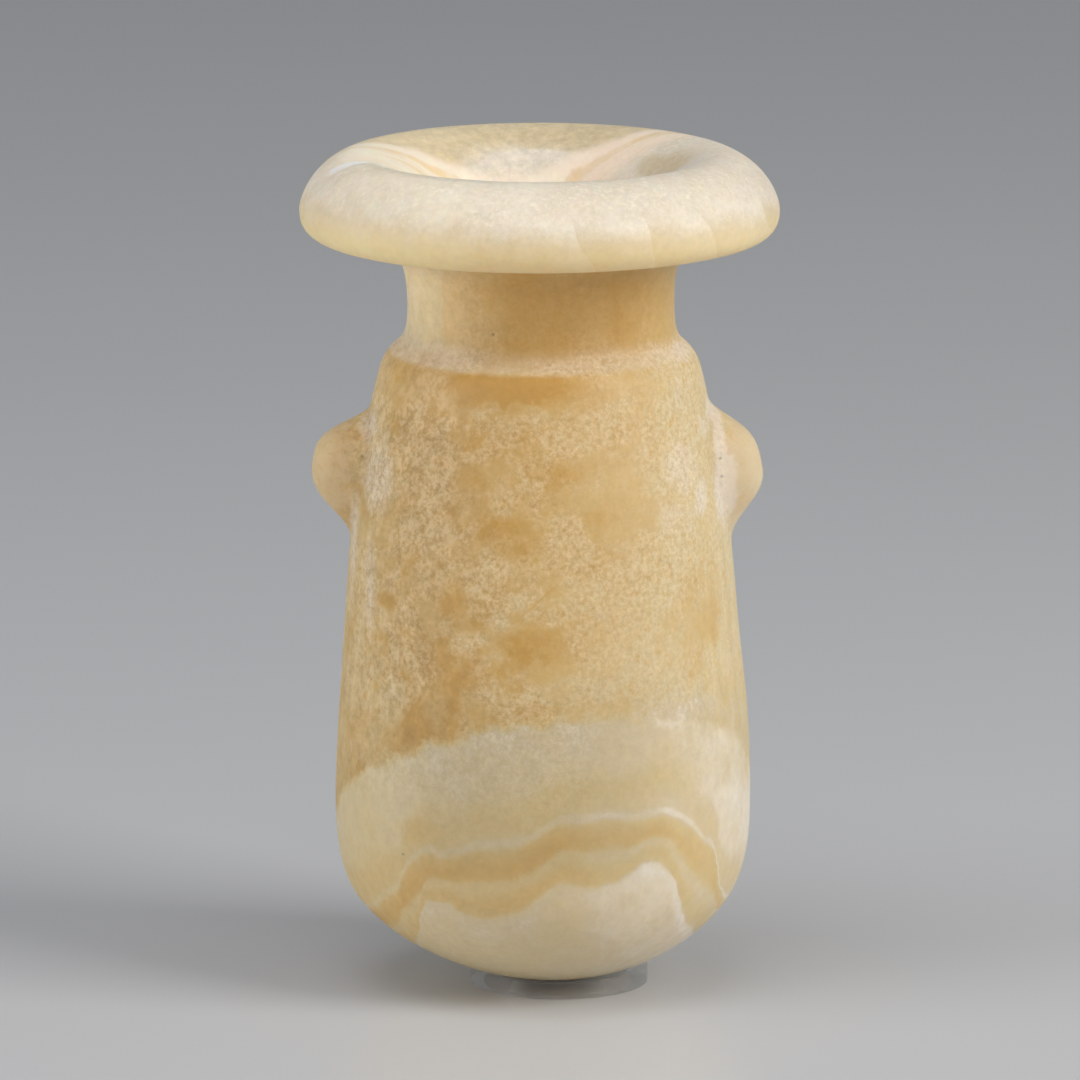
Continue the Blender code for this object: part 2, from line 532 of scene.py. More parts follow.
STAINS = (
    # clear honey in the body
    Stain((0.8, -38.0, 74.7), (8.6, 12.0, 5.6), 0.17, 0.7),
    Stain((-5.2, -37.0, 74.0), (3.4, 12.0, 2.6), 0.12, 0.8),
    Stain((-4.9, -37.0, 95.0), (8.4, 12.0, 5.2), 0.20, 0.5),
    Stain((-10.2, -37.0, 98.5), (2.6, 12.0, 6.0), 0.08, 0.6),
    Stain((-16.5, -35.0, 82.0), (4.0, 12.0, 5.6), 0.16, 0.8),
    Stain((3.4, -38.0, 106.5), (5.6, 12.0, 3.2), 0.12, 0.8),
    Stain((10.8, -37.0, 98.6), (3.0, 12.0, 2.0), 0.12, 0.6),
    Stain((-13.0, -33.0, 104.0), (6.0, 12.0, 5.0), 0.12, 1.0),
    Stain((-9.0, -34.0, 111.0), (17.0, 14.0, 8.0), 0.07, 0.4),
    Stain((-15.5, -35.0, 68.0), (11.0, 14.0, 4.5), 0.16, 0.9),
    Stain((-24.0, -30.0, 57.0), (4.5, 10.0, 5.0), 0.14, 0.7),
    Stain((-28.5, -28.0, 60.5), (4.5, 8.0, 6.5), -0.18, 0.3),
    Stain((-29.5, -23.5, 80.0), (3.0, 6.0, 2.4), 0.22, 0.8),
    Stain((31.0, -22.0, 76.0), (8.0, 12.0, 13.0), 0.18, 0.8),
    Stain((-23.5, -31.0, 36.0), (7.0, 10.0, 3.5), 0.12, 0.5),
    # pale grainy stone between them
    Stain((8.5, -38.0, 83.0), (8.0, 12.0, 4.6), -0.12, 0.9),
    Stain((-13.5, -36.0, 74.5), (5.0, 10.0, 2.2), -0.12, 0.9),
    Stain((6.0, -38.0, 65.5), (10.0, 12.0, 3.5), -0.12, 1.0),
    Stain((3.0, -38.0, 113.5), (7.0, 12.0, 3.5), -0.10, 1.0),
    Stain((26.0, -28.0, 60.0), (11.0, 12.0, 4.6), -0.14, 0.9),
    # iron along the lugs' edges
    Stain((-37.0, -6.0, 109.6), (6.5, 7.0, 1.5), 0.16, 0.2),
    Stain((-37.8, -3.0, 93.0), (2.6, 6.0, 6.0), 0.14, 0.5),
    Stain((39.5, -6.0, 111.0), (3.0, 6.0, 2.0), 0.12, 0.5),
    Stain((40.5, -5.0, 96.0), (3.0, 6.0, 3.0), 0.18, 0.5),
    # a pale band in the far wall of the mouth, painted as a soft highlight
    Stain((-4.0, 23.5, 160.2), (20.0, 8.0, 3.2), -0.13, 0.3),
    Stain((-2.0, 23.5, 160.0), (12.0, 6.0, 1.6), -0.20, 0.4),
    Stain((-7.0, 20.0, 156.6), (17.0, 7.0, 4.4), -0.22, 0.3),
    # warmer stone in its right wall
    Stain((21.6, 12.1, 160.2), (4.0, 5.0, 4.0), 0.13, 0.6),
    Stain((27.0, 4.0, 158.5), (9.0, 13.0, 7.0), 0.16, 0.5),
)

# Abrasion where the lugs leave the wall: here "iron" is how pale it is
ABRASION = (
    Stain((34.2, -3.0, 114.5), (3.4, 6.0, 3.0), 0.85, 0.5),
    Stain((31.0, -10.0, 112.0), (3.0, 6.0, 3.5), 0.45, 0.8),
    Stain((27.5, -8.0, 126.4), (5.0, 8.0, 2.4), 0.45, 0.6),
    Stain((35.4, -6.5, 107.0), (1.7, 6.0, 9.5), 0.85, 0.5),
    Stain((36.6, -9.0, 99.5), (3.2, 7.0, 8.5), 1.00, 0.6),
    Stain((31.6, -16.0, 99.0), (1.9, 7.0, 5.0), 0.75, 0.7),
    Stain((27.5, -21.0, 106.0), (5.0, 8.0, 6.0), 0.40, 1.0),
    Stain((25.0, -22.0, 97.0), (4.5, 8.0, 4.0), 0.40, 1.0),
    Stain((-31.5, -16.0, 103.0), (5.5, 9.0, 9.0), 0.36, 0.6),
    Stain((-33.8, -9.0, 112.5), (3.0, 7.0, 4.5), 0.45, 0.5),
    Stain((-35.8, -6.0, 88.0), (1.6, 6.0, 16.0), 0.40, 0.4),
    Stain((-33.0, -18.0, 84.0), (1.4, 6.0, 14.0), 0.30, 0.4),
)


@dataclass(frozen=True)
class Crack:
    """A healed crack: where it starts and ends on the front, across and up, its half width, all in
    millimetres, and how much iron it adds."""

    start: tuple
    end: tuple
    width: float
    iron: float


CRACKS = (
    Crack((4.6, 87.0), (-4.6, 78.6), 0.30, 0.10),
    Crack((1.0, 87.0), (-9.0, 77.0), 1.8, -0.14),
    Crack((-21.8, 64.4), (-27.3, 55.2), 0.40, 0.14),
)

# Small dark pits on the front, across and up, in millimetres
PITS = ((-26.4, 31.0), (-8.8, 133.0), (35.6, 105.5), (35.9, 102.0), (-34.5, 106.0))
PIT_RADIUS = 0.32

# The top of the foot's cloudy stone at the front and at the back, and where it is furthest in
# front, in millimetres
FOOT_TOP = 58.6
FOOT_TOP_BEHIND = 25.0
FOOT_FRONT = -39.0

# How far one zone takes to turn into the next: above the foot's top, and in height up the stone
FOOT_EDGE = (-1.6, 1.4)
NECK_EDGE = (126.5, 129.5)
RIM_EDGE = (145.5, 149.0)


# Below, x, y and z are places in the stone, in millimetres to the right, back and up from the
# middle of its underside. rise, fall, ease and band take such places, and give shares or strengths.


@dataclass(frozen=True)
class Zones:
    """The zones of the stone. Each value is 1 in its zone and 0 outside it."""

    foot: Value
    body: Value
    lug: Value
    rim: Value


@dataclass(frozen=True)
class Mouth:
    """How much there is of the tan, the rose and the streaked layers that the mouth cuts through, how
    white the worn edge at its left is, from wear and a painted highlight, and the painted shade in front
    of it."""

    tan: Value
    rose: Value
    streaks: Value
    bruise_and_highlight: Value
    painted_shade: Value


def stained(stone, stains, place):
    """How much iron the stains add or take away."""
    wander = 1.5 * stone.ripple(place, 5.0, 3.0, 0.65)
    iron = 0.0
    for stain in stains:
        shrink = tuple(1.0 / reach for reach in stain.reach)
        shift = tuple(-middle / reach for middle, reach in zip(stain.middle, stain.reach))
        away = stone.vector("MULTIPLY_ADD", place, shrink, shift)
        away = stone.vector("LENGTH", away, output="Value")
        iron = wander.times_plus(stain.ragged, away).ease(0.4, 1.05, stain.iron, 0.0) + iron
    return iron


def cracked(x, y, z):
    """The iron that the healed cracks add on the front of the stone."""
    iron = 0.0
    for crack in CRACKS:
        along_x = crack.end[0] - crack.start[0]
        along_z = crack.end[1] - crack.start[1]
        length = math.hypot(along_x, along_z)
        off_x = x - crack.start[0]
        off_z = z - crack.start[1]
        along = (along_x * off_x + along_z * off_z) / length
        across = (along_z * off_x - along_x * off_z) / length
        line = across.band(0.0, 0.3 * crack.width, crack.width)
        iron = iron + crack.iron * line * (along / length - 0.5).band(0.0, 0.25, 0.35)
    return iron * y.fall(-12.0, -6.0)


def pitted(stone, x, y, z):
    """1 in the small dark pits on the front of the stone."""
    pits = 0.0
    for across, up in PITS:
        off = stone.node("ShaderNodeCombineXYZ", None, {0: x - across, 1: 0.0, 2: z - up})
        away = stone.vector("LENGTH", off, output="Value")
        pits = pits + away.fall(0.4 * PIT_RADIUS, 1.3 * PIT_RADIUS)
    return pits * y.fall(-8.0, -4.0)


def honey_iron(stone, place, x):
    """The clear honey stone of the upper body, with slanting veils of paler stone."""
    slant = {0: place, "Rotation": (0.0, math.radians(32.0), 0.0)}
    slanted = stone.node("ShaderNodeMapping", None, slant)
    slanted = stone.vector("MULTIPLY", slanted, (0.35, 1.0, 1.0))
    veils = stone.ripple(stone.stirred(slanted, 9.0, 4.0), 7.0, 3.0, 0.58)
    mottle = stone.ripple(place, 3.0, 3.0, 0.6)
    rusty = stone.cloud(stone.stirred(place, 4.0, 1.6, 0.0), 4.6, 3.0, 0.6).rise(0.53, 0.66)
    iron = 0.72 - 0.29 * x.rise(6.0, 32.0)
    iron = iron + 0.075 * x.fall(-17.0, -7.0) - 0.10 * x.fall(-33.0, -27.0)
    iron = iron + 0.14 * rusty * x.fall(-4.0, 8.0)
    return iron - (0.38 + 0.16 * x.rise(-22.0, -10.0)) * veils - 0.24 * mottle


def seam_height(stone, across, seam):
    """How high a folded seam runs, in millimetres, at this place across the stone."""
    width = 2.0 * SEAM_REACH
    points = tuple((place / width + 0.5, height / SEAM_TOP) for place, height in seam)
    curve = stone.node("ShaderNodeFloatCurve", {"points": points}, {"Value": across / width + 0.5})
    return SEAM_TOP * curve


def foot_iron(stone, place, x):
    """The cloudy cream stone low on the body, crossed by folded tan and pale layers."""
    across, back, up = stone.parts(stone.stirred(stone.stirred(place, 14.0, 1.2), 4.0, 0.8))
    up = up + 0.12 * (back + 40.0)
    upper = seam_height(stone, across, UPPER_SEAM)
    lower = seam_height(stone, across, LOWER_SEAM)
    between = (up - lower) / (upper - lower).at_least(5.0)
    level = between.at_most(1.0) + (0.1 * (up - upper)).at_least(0.0)
    first, _ = LAYERS[0]
    last, _ = LAYERS[-1]
    points = tuple(((place - first) / (last - first), iron) for place, iron in LAYERS)
    share = (level - first) / (last - first)
    layers = stone.node("ShaderNodeFloatCurve", {"points": points}, {"Value": share})
    layers = layers - 0.13 * x.rise(5.0, 14.0) * up.fall(42.0, 50.0) - 0.04 * x.rise(14.0, 28.0)
    layers = layers + 0.04 * x.fall(-24.0, -8.0) + 0.10 * x.fall(-34.0, -26.0)
    return layers - 0.36 * stone.ripple(place, 9.0, 4.0, 0.6)


def neck_iron_and_shade(stone, place, x):
    """The neck's honey stone, amber in front, the amber partly painted shade under the rim."""
    patches = stone.ripple(stone.vector("MULTIPLY", place, (1.0, 1.0, 0.6)), 9.0, 3.0, 0.55)
    mottle = stone.ripple(place, 2.6, 3.0, 0.6)
    # the amber band in front, partly painted shade under the rim
    middle = (x - 6.0).band(0.0, 9.0, 22.0)
    return 0.51 + 0.42 * middle - 0.24 * patches - 0.26 * mottle - 0.16 * x.fall(-19.2, -18.4)


def wall_iron(stone, place, x, y, z, above_foot, ragged):
    """How rich in iron the stone is from the foot up to the rim."""
    honey = honey_iron(stone, place, x)
    honey = honey + above_foot.fall(1.0, 10.0) * (0.08 - 0.16 * x.rise(-12.0, 12.0))
    iron = honey.towards(foot_iron(stone, place, x), above_foot.fall(*FOOT_EDGE))
    under_collar = (z + 1.3 * ragged).rise(118.6, 123.4) * (z + 0.3 * ragged).fall(124.2, 126.4)
    frayed = x + 2.0 * ragged
    amber = 0.32 * frayed.rise(-20.0, -14.0) * frayed.fall(-8.0, 16.0) + 0.08 * x.fall(14.0, 28.0)
    iron = iron + amber * under_collar * y.fall(-20.0, -10.0)
    return iron.towards(neck_iron_and_shade(stone, place, x), z.rise(*NECK_EDGE))


def rim_layers(stone, place, x, z):
    """The iron in the ivory rim, yellower below a wavy line, and the slanting sheets of the stone
    that show there."""
    patches = stone.ripple(place, 6.0, 4.0, 0.6)
    wavy = z + 5.0 * stone.ripple(place, 9.0, 3.0, 0.55)
    iron = 0.03 + 0.04 * x.fall(-34.0, -12.0) + 0.42 * wavy.fall(149.5, 159.5) - 0.18 * patches
    sheets = ((x - 2.0 + 0.45 * z + 8.0 * stone.cloud(place, 16.0, 1.0)) / 11.5).fraction()
    sheets = sheets * wavy.fall(157.0, 160.0) * x.rise(-6.0, 8.0)
    return iron, sheets


def mouth_layers(stone, place, x, y, z):
    """The slanting layers that the mouth cuts through, and the worn edge at its left, with the painted
    highlight on it and the painted shade in front of it.
    """
    across, back, up = stone.parts(stone.stirred(place, 8.0, 1.4))
    layer = back - 0.28 * across
    level = stone.vector("MULTIPLY", place, (1.0, 1.0, 0.0))
    radius = stone.vector("LENGTH", level, output="Value")
    behind = (1000.0 * WEAR_CREST - radius).at_least(y - 1000.0 * WEAR_LINE) * z.rise(154.0, 158.0)
    tan = layer.rise(19.5, 23.0).towards(layer.rise(14.0, 30.0), radius.rise(36.0, 42.0))
    rose = layer.rise(9.0, 14.0).at_least(behind.rise(8.0, 11.0) * x.fall(-22.0, -10.0))

    lengthways = stone.node("ShaderNodeCombineXYZ", None, {0: layer, 1: 0.07 * across, 2: 0.10 * up})
    streaks = stone.cloud(lengthways, 2.0).rise(0.46, 0.72)
    streaks = streaks * x.rise(-37.0, -27.0) * layer.fall(15.5, 18.0)
    patchy = 0.4 + 0.6 * stone.cloud(place, 5.0).rise(0.40, 0.60)
    streaks = streaks.at_least(patchy * layer.band(17.5, 0.3, 1.1))

    left = x.fall(-31.0, -25.0)
    # the worn edge painted white: wear, and a painted highlight along its ridge
    bruise_and_highlight = left * behind.band(6.4, 0.6, 2.2) * x.rise(-43.0, -39.5) * z.rise(160.5, 162.0)
    bruise_and_highlight = bruise_and_highlight * (0.6 + 0.5 * stone.cloud(place, 1.6).rise(0.35, 0.6))
    # painted shade: the lip darker just in front of the worn edge, and just below its crest at the front
    painted_shade = 0.05 * left * behind.band(-2.5, 1.5, 1.5)
    painted_shade = painted_shade + 0.13 * behind.band(-0.9, 0.8, 1.6) * x.rise(-34.0, -28.0) * x.fall(-18.0, -2.0)
    rose = rose * radius.fall(36.0, 41.0)
    painted_shade = painted_shade * z.rise(158.0, 161.0)
    return Mouth(tan=tan, rose=rose, streaks=streaks, bruise_and_highlight=bruise_and_highlight, painted_shade=painted_shade)


def frosted(stone, place, iron, x, z):
    """How frosted the surface is, most where the stone holds little iron."""
    patches = stone.cloud(stone.stirred(place, 8.0, 3.0, 0.0), 13.0, 3.0, 0.55)
    patches = patches + 0.12 * x.fall(-22.0, 8.0)
    patches = patches + 0.08 * x.fall(-4.0, 12.0) * z.band(109.0, 6.0, 5.0)
    frost = (patches - 0.6 * (iron - 0.66)).rise(0.38, 0.60)
    return frost * (0.45 + 0.55 * z.rise(54.0, 64.0)) * (1.0 - 0.6 * z.rise(128.5, 131.0))


def etched_grain(stone, place, x):
    """The grain etched in the surface, below 0 in the pits and above 0 on the pale lumps."""
    lumps = stone.cloud(place, 1.0, 2.0, 0.8).ease(0.26, 0.74, -1.8, 1.8)
    grains = stone.cloud(place, 2.2, 1.0, 0.6).ease(0.3, 0.7, -1.3, 1.3)
    left = x.fall(-18.0, -2.0)
    return (lumps + 0.45 * left * grains).at_most(1.8 - 0.7 * left)


def grain_strength(zones, mouth, frost, x, z):
    """How strong the etched grain is: weaker on the lugs, the rim, the edges and smooth places."""
    low_rim = zones.rim * (1.0 - mouth.tan) * z.fall(154.0, 160.0)
    smooth_foot = zones.foot * z.fall(38.0, 48.0).at_least(0.8 * x.rise(8.0, 20.0))
    smooth_shoulder = z.rise(116.0, 121.0) * x.fall(-18.0, -8.0)
    smooth_right = 0.12 * x.rise(0.0, 16.0) + 0.24 * x.rise(2.0, 14.0) * z.fall(72.0, 86.0)
    edgewise = abs(x).rise(28.0, 38.0) * (1.0 - zones.rim)
    strength = (0.22 + 0.78 * frost) * (1.0 - 0.8 * zones.lug) * (1.0 - 0.6 * smooth_foot)
    strength = strength * (1.0 - 0.51 * zones.rim) * (1.0 - 0.1 * low_rim)
    strength = strength * (1.0 - 0.6 * smooth_shoulder) * (1.0 - 0.4 * edgewise)
    strength = strength * (1.0 - 0.2 * zones.foot)
    return strength * (0.80 + 0.10 * x.fall(-18.0, -8.0) - smooth_right)


def painted_glow(zones, x, z):
    """The painted glow: how much brighter the colour is made where light would come through the stone,
    in the lower rim and the upper neck.
    """
    lit = 0.26 * zones.rim * z.fall(150.0, 158.0)
    lit = lit + 0.11 * x.fall(-24.0, -14.0) * z.band(138.0, 5.0, 5.0)
    return lit + 0.10 * z.rise(132.0, 143.0) * (1.0 - zones.rim)


def painted_shading(zones, above_foot, x, z):
    """The painted shade: how much darker the colour is made in broad places on the foot, the body and
    the lugs, where less light falls, with a painted light high on the left of the shoulder.
    """
    painted_shade = 0.13 * zones.foot * z.rise(24.0, 34.0) * x.rise(-32.0, -16.0) * x.fall(14.0, 30.0)
    painted_shade = painted_shade + 0.07 * above_foot.fall(2.0, 12.0) * (1.0 - zones.foot)
    painted_shade = painted_shade + 0.05 * z.rise(128.0, 131.0) * x.rise(-4.0, 12.0)
    painted_shade = painted_shade - 0.10 * z.rise(112.0, 120.0) * x.fall(-22.0, -8.0)
    painted_shade = painted_shade + zones.body * (0.01 * x.rise(4.0, 16.0) + 0.035 * x.fall(-24.0, -6.0))
    return painted_shade + 0.05 * zones.lug * x.rise(0.0, 10.0)


def mottled(stone, place, zones, frost, x, z):
    """The light and dark of the mottle and the fine grit, faint on the lugs."""
    strength = 0.18 + 0.14 * x.fall(-26.0, -6.0) * zones.body + 0.06 * zones.foot * z.rise(36.0, 46.0)
    tone = strength * stone.ripple(place, 2.2, 3.0, 0.65)
    tone = tone + 0.30 * x.fall(-20.0, -6.0) * zones.body * stone.ripple(place, 6.0)
    grit = (0.10 + 0.12 * frost) * zones.body * stone.ripple(place, 0.8, 2.0, 0.7)
    return (tone + grit) * (1.0 - 0.7 * zones.lug)


def rim_tone(stone, place, mouth, sheets, x, z):
    """The light and dark of the rim and the mouth: pale crystals, streaked tan, darker towards both ends
    of the rim, and the painted shade in front of the worn edge.
    """
    crystals = stone.cloud(place, 1.1, 2.0, 0.8).rise(0.48, 0.70) - 0.3
    crystals = crystals * (0.3 + 0.7 * stone.cloud(place, 8.0).rise(0.42, 0.58))
    tone = mouth.tan * (0.62 * stone.ripple(place, 2.4, 3.0, 0.7) - 0.08)
    tone = tone + mouth.rose * (1.0 - mouth.tan) * (0.13 + 0.02 * x.rise(20.0, 32.0))
    bare = (1.0 - mouth.tan) * (1.0 - mouth.rose)
    tone = tone + 0.10 * crystals * bare * z.rise(152.0, 160.0)
    # darker towards both ends of the rim, and the painted shade along the lip taken off
    return tone + 0.035 * sheets - 0.05 * abs(x).rise(37.0, 45.0) - mouth.painted_shade


def alabaster(colours):
    """The whole stone's finish."""
    stone = Finish("alabaster")
    place = stone.millimetres(LIFT)
    x, y, z = stone.parts(place)

    # the zones, and the ragged edge where the foot's cloudy stone gives way to the body's honey
    back = y - FOOT_FRONT
    foot_top = FOOT_TOP + 0.12 * x - 0.35 * back - 0.006 * back * back
    ragged = 6.4 * stone.ripple(place, 5.0, 3.0, 0.65)
    above_foot = z + 5.0 * stone.ripple(place, 20.0, 1.0) + ragged
    above_foot = above_foot - foot_top.at_least(FOOT_TOP_BEHIND, 10.0)
    in_foot = above_foot.fall(*FOOT_EDGE)
    in_rim = z.rise(*RIM_EDGE)
    on_lug = abs(x).rise(35.8, 39.2) * z.band(102.0, 12.0, 4.0)
    in_body = (1.0 - in_rim) * (1.0 - in_foot)
    zones = Zones(foot=in_foot, body=in_body, lug=on_lug, rim=in_rim)

    # how rich in iron the stone is, 0 for ivory and 1 for amber
    mouth = mouth_layers(stone, place, x, y, z)
    rim_iron, sheets = rim_layers(stone, place, x, z)
    rim_iron = rim_iron.towards(0.07 + 0.42 * mouth.streaks, mouth.rose).towards(0.26, mouth.tan)
    iron = wall_iron(stone, place, x, y, z, above_foot, ragged)
    iron = iron.towards(rim_iron - 0.09 * sheets, in_rim)
    iron = iron + stained(stone, STAINS, place) + cracked(x, y, z)

    # what weather and wear have done to it
    frost = frosted(stone, place, iron, x, z)
    etched = etched_grain(stone, place, x) * grain_strength(zones, mouth, frost, x, z)
    bare = abs(x).rise(24.0, 34.0) * z.fall(112.0, 120.0) * z.rise(46.0, 56.0) * (1.0 - on_lug)
    strokes = bare * stone.ripple(stone.vector("MULTIPLY", place, (1.0, 1.0, 0.10)), 3.2)
    specks = frost * in_body * stone.cloud(place, 1.7).rise(0.57, 0.68)
    iron = iron - 0.11 * etched * (1.0 - 0.4 * in_rim) - 0.20 * strokes + 0.20 * specks
    # richer in iron, so darker, at the very bottom, on the left and in the middle
    iron = iron + 0.35 * (z - 0.008 * x * x).fall(0.2, 3.6) * x.fall(4.0, 24.0)
    # a pale band round the collar, joined to the pale patches of abrasion at the lugs
    collar = z.rise(125.2, 126.4) * z.fall(126.8, 131.0)
    abrasion_and_collar_band = stained(stone, ABRASION, place) + (0.36 + 0.16 * x.fall(-16.0, -8.0)) * collar
    pale = (0.15 + 0.05 * etched) * frost * in_body + abrasion_and_collar_band * (1.0 + 0.35 * etched)
    pale = pale + on_lug * (0.12 + 0.14 * x.rise(0.0, 10.0))

    # the colours, from ivory to amber, and how light or dark they are
    shades = (colours.ivory, colours.pale_cream, colours.cream)
    shades += (colours.honey, colours.deep_honey, colours.amber)
    stops = tuple((step / (len(shades) - 1), shade) for step, shade in enumerate(shades))
    rose = 0.6 * in_rim * mouth.rose * (1.0 - mouth.tan) * (1.0 - 0.45 * mouth.streaks)
    # the mottle and grit of the stone, with a painted glow in the lower rim and the upper neck
    tone = mottled(stone, place, zones, frost, x, z) + painted_glow(zones, x, z)
    # painted shade darkens broad places where less light falls, and the grain and strokes add their own
    # tone
    tone = tone - painted_shading(zones, above_foot, x, z) + 0.06 * etched.at_least(-0.9) + 0.16 * strokes
    tone = tone + in_rim * rim_tone(stone, place, mouth, sheets, x, z) - 0.35 * pitted(stone, x, y, z)
    colour = stone.node("ShaderNodeValToRGB", {"stops": stops}, {0: iron})
    colour = stone.blend(rose, colour, colours.rose)
    colour = stone.blend(pale, colour, colours.bloom)
    colour = stone.vector("SCALE", colour, Scale=1.0 + tone)
    # the worn edge painted white, partly as a painted highlight
    colour = stone.blend(in_rim * mouth.bruise_and_highlight, colour, colours.bruise_and_highlight)

    stone.shade(
        Base_Color=colour,
        Roughness=0.48 + 0.14 * frost + 0.04 * etched + 0.24 * in_rim * mouth.tan,
        Subsurface_Weight=colours.glow,
        Subsurface_Radius=(1.0, 0.7, 0.4),
        Subsurface_Scale=colours.glow_depth,
        IOR=1.53,
        Specular_IOR_Level=0.35,
    )
    return stone.material


def clear_acrylic(settings):
    """Clear cast plastic with faint scuffs."""
    acrylic = Finish("clear_acrylic")
    place = acrylic.millimetres(0.0)
    scuffs = acrylic.cloud(place, 3.0, 4.0, 0.6).rise(0.45, 0.75)
    acrylic.shade(
        Base_Color=settings.tint,
        Roughness=0.02 + 0.06 * scuffs,
        Normal=acrylic.bump(acrylic.cloud(place, 9.0), 0.00002),
        Transmission_Weight=1.0,
        IOR=1.49,
        Alpha=0.3,
    )
    return acrylic.material


def pale_floor(settings):
    """A plain pale satin floor."""
    floor = Finish("pale_floor")
    place = floor.millimetres(0.0)
    shade = floor.cloud(place, FLOOR_SHADE_SIZE)
    darker = tuple(0.97 * part for part in settings.floor_colour)
    floor.shade(
        Base_Color=floor.blend(shade, darker, tuple(settings.floor_colour)),
        Roughness=0.30 + 0.06 * shade,
    )
    return floor.material


# ---------------------------------------------------------------- shapes


def outside_knots():
    """From the middle of the underside, up the body and neck, to the crest of the rim."""
    return (
        Knot(0.0, 0.0, 0.0, 0.0, 0.0122, 30),
        Knot(BILGE_RADIUS, BILGE_HEIGHT, 45.5, 0.0122, 0.0071, 20),
        Knot(BELLY_RADIUS, BELLY_HEIGHT, 90.0, 0.0127, 0.0121, 28),
        Knot(FLANK_RADIUS, FLANK_HEIGHT, 95.0, 0.0114, 0.0180, 60),
        Knot(SHOULDER_RADIUS, SHOULDER_HEIGHT, 104.0, 0.0224, 0.0037, 10),
        Knot(COLLAR_RADIUS, COLLAR_HEIGHT, 134.0, 0.0015, 0.0022, 9),
        Knot(NECK_RADIUS, NECK_HEIGHT, 90.0, 0.0019, 0.0025, 9),
        Knot(NECK_TOP_RADIUS, NECK_TOP_HEIGHT, 76.0, 0.0025, 0.0035, 13),
        Knot(RIM_UNDERSIDE_RADIUS, RIM_UNDERSIDE_HEIGHT, 8.0, 0.0035, 0.0026, 16),
        Knot(RIM_RADIUS, RIM_HEIGHT, 90.0, 0.0078, 0.0042, 24),
        Knot(CREST_RADIUS, CREST_HEIGHT, 180.0, 0.0063, 0.0060, 0),
    )


def inside_knots():
    """From the crest of the rim, down the dished mouth and the bore, to the middle of the floor."""
    return (
        Knot(CREST_RADIUS, CREST_HEIGHT, 180.0, 0.0063, 0.0065, 30),
        Knot(BORE_RADIUS, THROAT_HEIGHT, 270.0, 0.0080, 0.0080, 12),
        Knot(BORE_RADIUS + BORE_FLARE, BORE_FOOT_HEIGHT, 305.0, 0.0040, 0.0090, 24),
        Knot(BELLY_RADIUS - WALL, BELLY_HEIGHT, 270.0, 0.0500, 0.0110, 14),
        Knot(0.0, FLOOR_THICKNESS, 180.0, 0.0170, 0.0, 0),
    )


def spoke_to(bearing):
    """A level arm of length 1 towards this bearing (radians), from +X by +Y."""
    return Vector((math.cos(bearing), math.sin(bearing), 0.0))


def outline(knots):
    """The (radius, height) points of a smooth turned outline through the knots."""
    points = []
    for here, there in zip(knots, knots[1:]):
        leaving = spoke_to(math.radians(here.heading)).xy
        arriving = spoke_to(math.radians(there.heading)).xy
        start = Vector((here.radius, here.height))
        end = Vector((there.radius, there.height))
        curve = interpolate_bezier(
            start,
            start + leaving * here.reach_out,
            end - arriving * there.reach_in,
            end,
            here.rows + 1,
        )
        points.extend((point.x, point.y) for point in curve[:-1])
    points.append((knots[-1].radius, knots[-1].height))
    return points


def bell(distance, sharpness):
    """1 in the middle, falling smoothly to 0 at a distance of 1."""
    return 0.5 * (1.0 + math.cos(math.pi * min(distance, 1.0) ** sharpness))


def axis_shift(height):
    """How far the stone's axis stands from plumb, in X, at this height."""
    low = max(0.0, 1.0 - height / BASE_SWING_HEIGHT)
    high = bell(abs(height - NECK_SWING_HEIGHT) / NECK_SWING_SPAN, 1.0)
    return LEAN * (CREST_HEIGHT - height) + BASE_SWING * low**2 + NECK_SWING * high


def lug_relief(bearing, radius, height):
    """How far the lugs stand out of the wall at this bearing (radians) and height."""
    relief = 0.0
    for lug in LUGS:
        turn = math.remainder(bearing - math.radians(lug.bearing), math.tau)
        rising = height > lug.nose
        span = lug.above if rising else lug.below
        sharpness = lug.sharp_above if rising else lug.sharp_below
        along = bell(abs(height - lug.nose) / span, sharpness)
        half_thickness = LUG_HALF_THICKNESS * (1.0 - LUG_TIP_NARROWING * (1.0 - along))
        across = bell(abs(turn) * radius / half_thickness, LUG_SIDE_SHARPNESS)
        relief += lug.reach * along * across
    return relief


def smooth_rise(value, low, high):
    """0 up to low, then a smooth rise to 1 at high."""
    share = min(1.0, max(0.0, (value - low) / (high - low)))
    return share * share * (3.0 - 2.0 * share)


def rim_wear(spot, radius, height):
    """How far the rim is worn down here: at the left, in a dip behind a crisp edge."""
    behind = max(WEAR_CREST - radius, spot.y - WEAR_LINE)
    across = 1.0 - smooth_rise(spot.x, WEAR_FULL, WEAR_NONE)
    up = smooth_rise(height, WEAR_FOOT, WEAR_TOP)
    dip = smooth_rise(behind, 0.0, WEAR_STEP) * (1.0 - smooth_rise(behind, WEAR_DIP, WEAR_END))
    return WEAR_DEPTH * dip * across * up


def crowded_bearings(columns):
    """Bearings round the axis, closer together at the two lugs, on the X axis."""
    even = (math.tau * column / columns for column in range(columns))
    return [bearing - 0.5 * LUG_CROWDING * math.sin(2.0 * bearing) for bearing in even]


def hand_cut(spot, unevenness):
    """How far the hand-cut surface stands off the true one here: long waves, and smaller facets."""
    waves = noise.noise(spot * WAVES_PER_METRE)
    facets = noise.noise(spot * FACETS_PER_METRE + FACETS_START)
    return unevenness * (waves + FACET_SHARE * facets)


def join_rows(mesh, lower, upper):
    """Faces between two rows of vertices. A row of one vertex is a point on the axis."""
    count = max(len(lower), len(upper))
    for column in range(count):
        after = (column + 1) % count
        corners = [lower[column % len(lower)], lower[after % len(lower)]]
        corners += [upper[after % len(upper)], upper[column % len(upper)]]
        mesh.faces.new(list(dict.fromkeys(corners)))


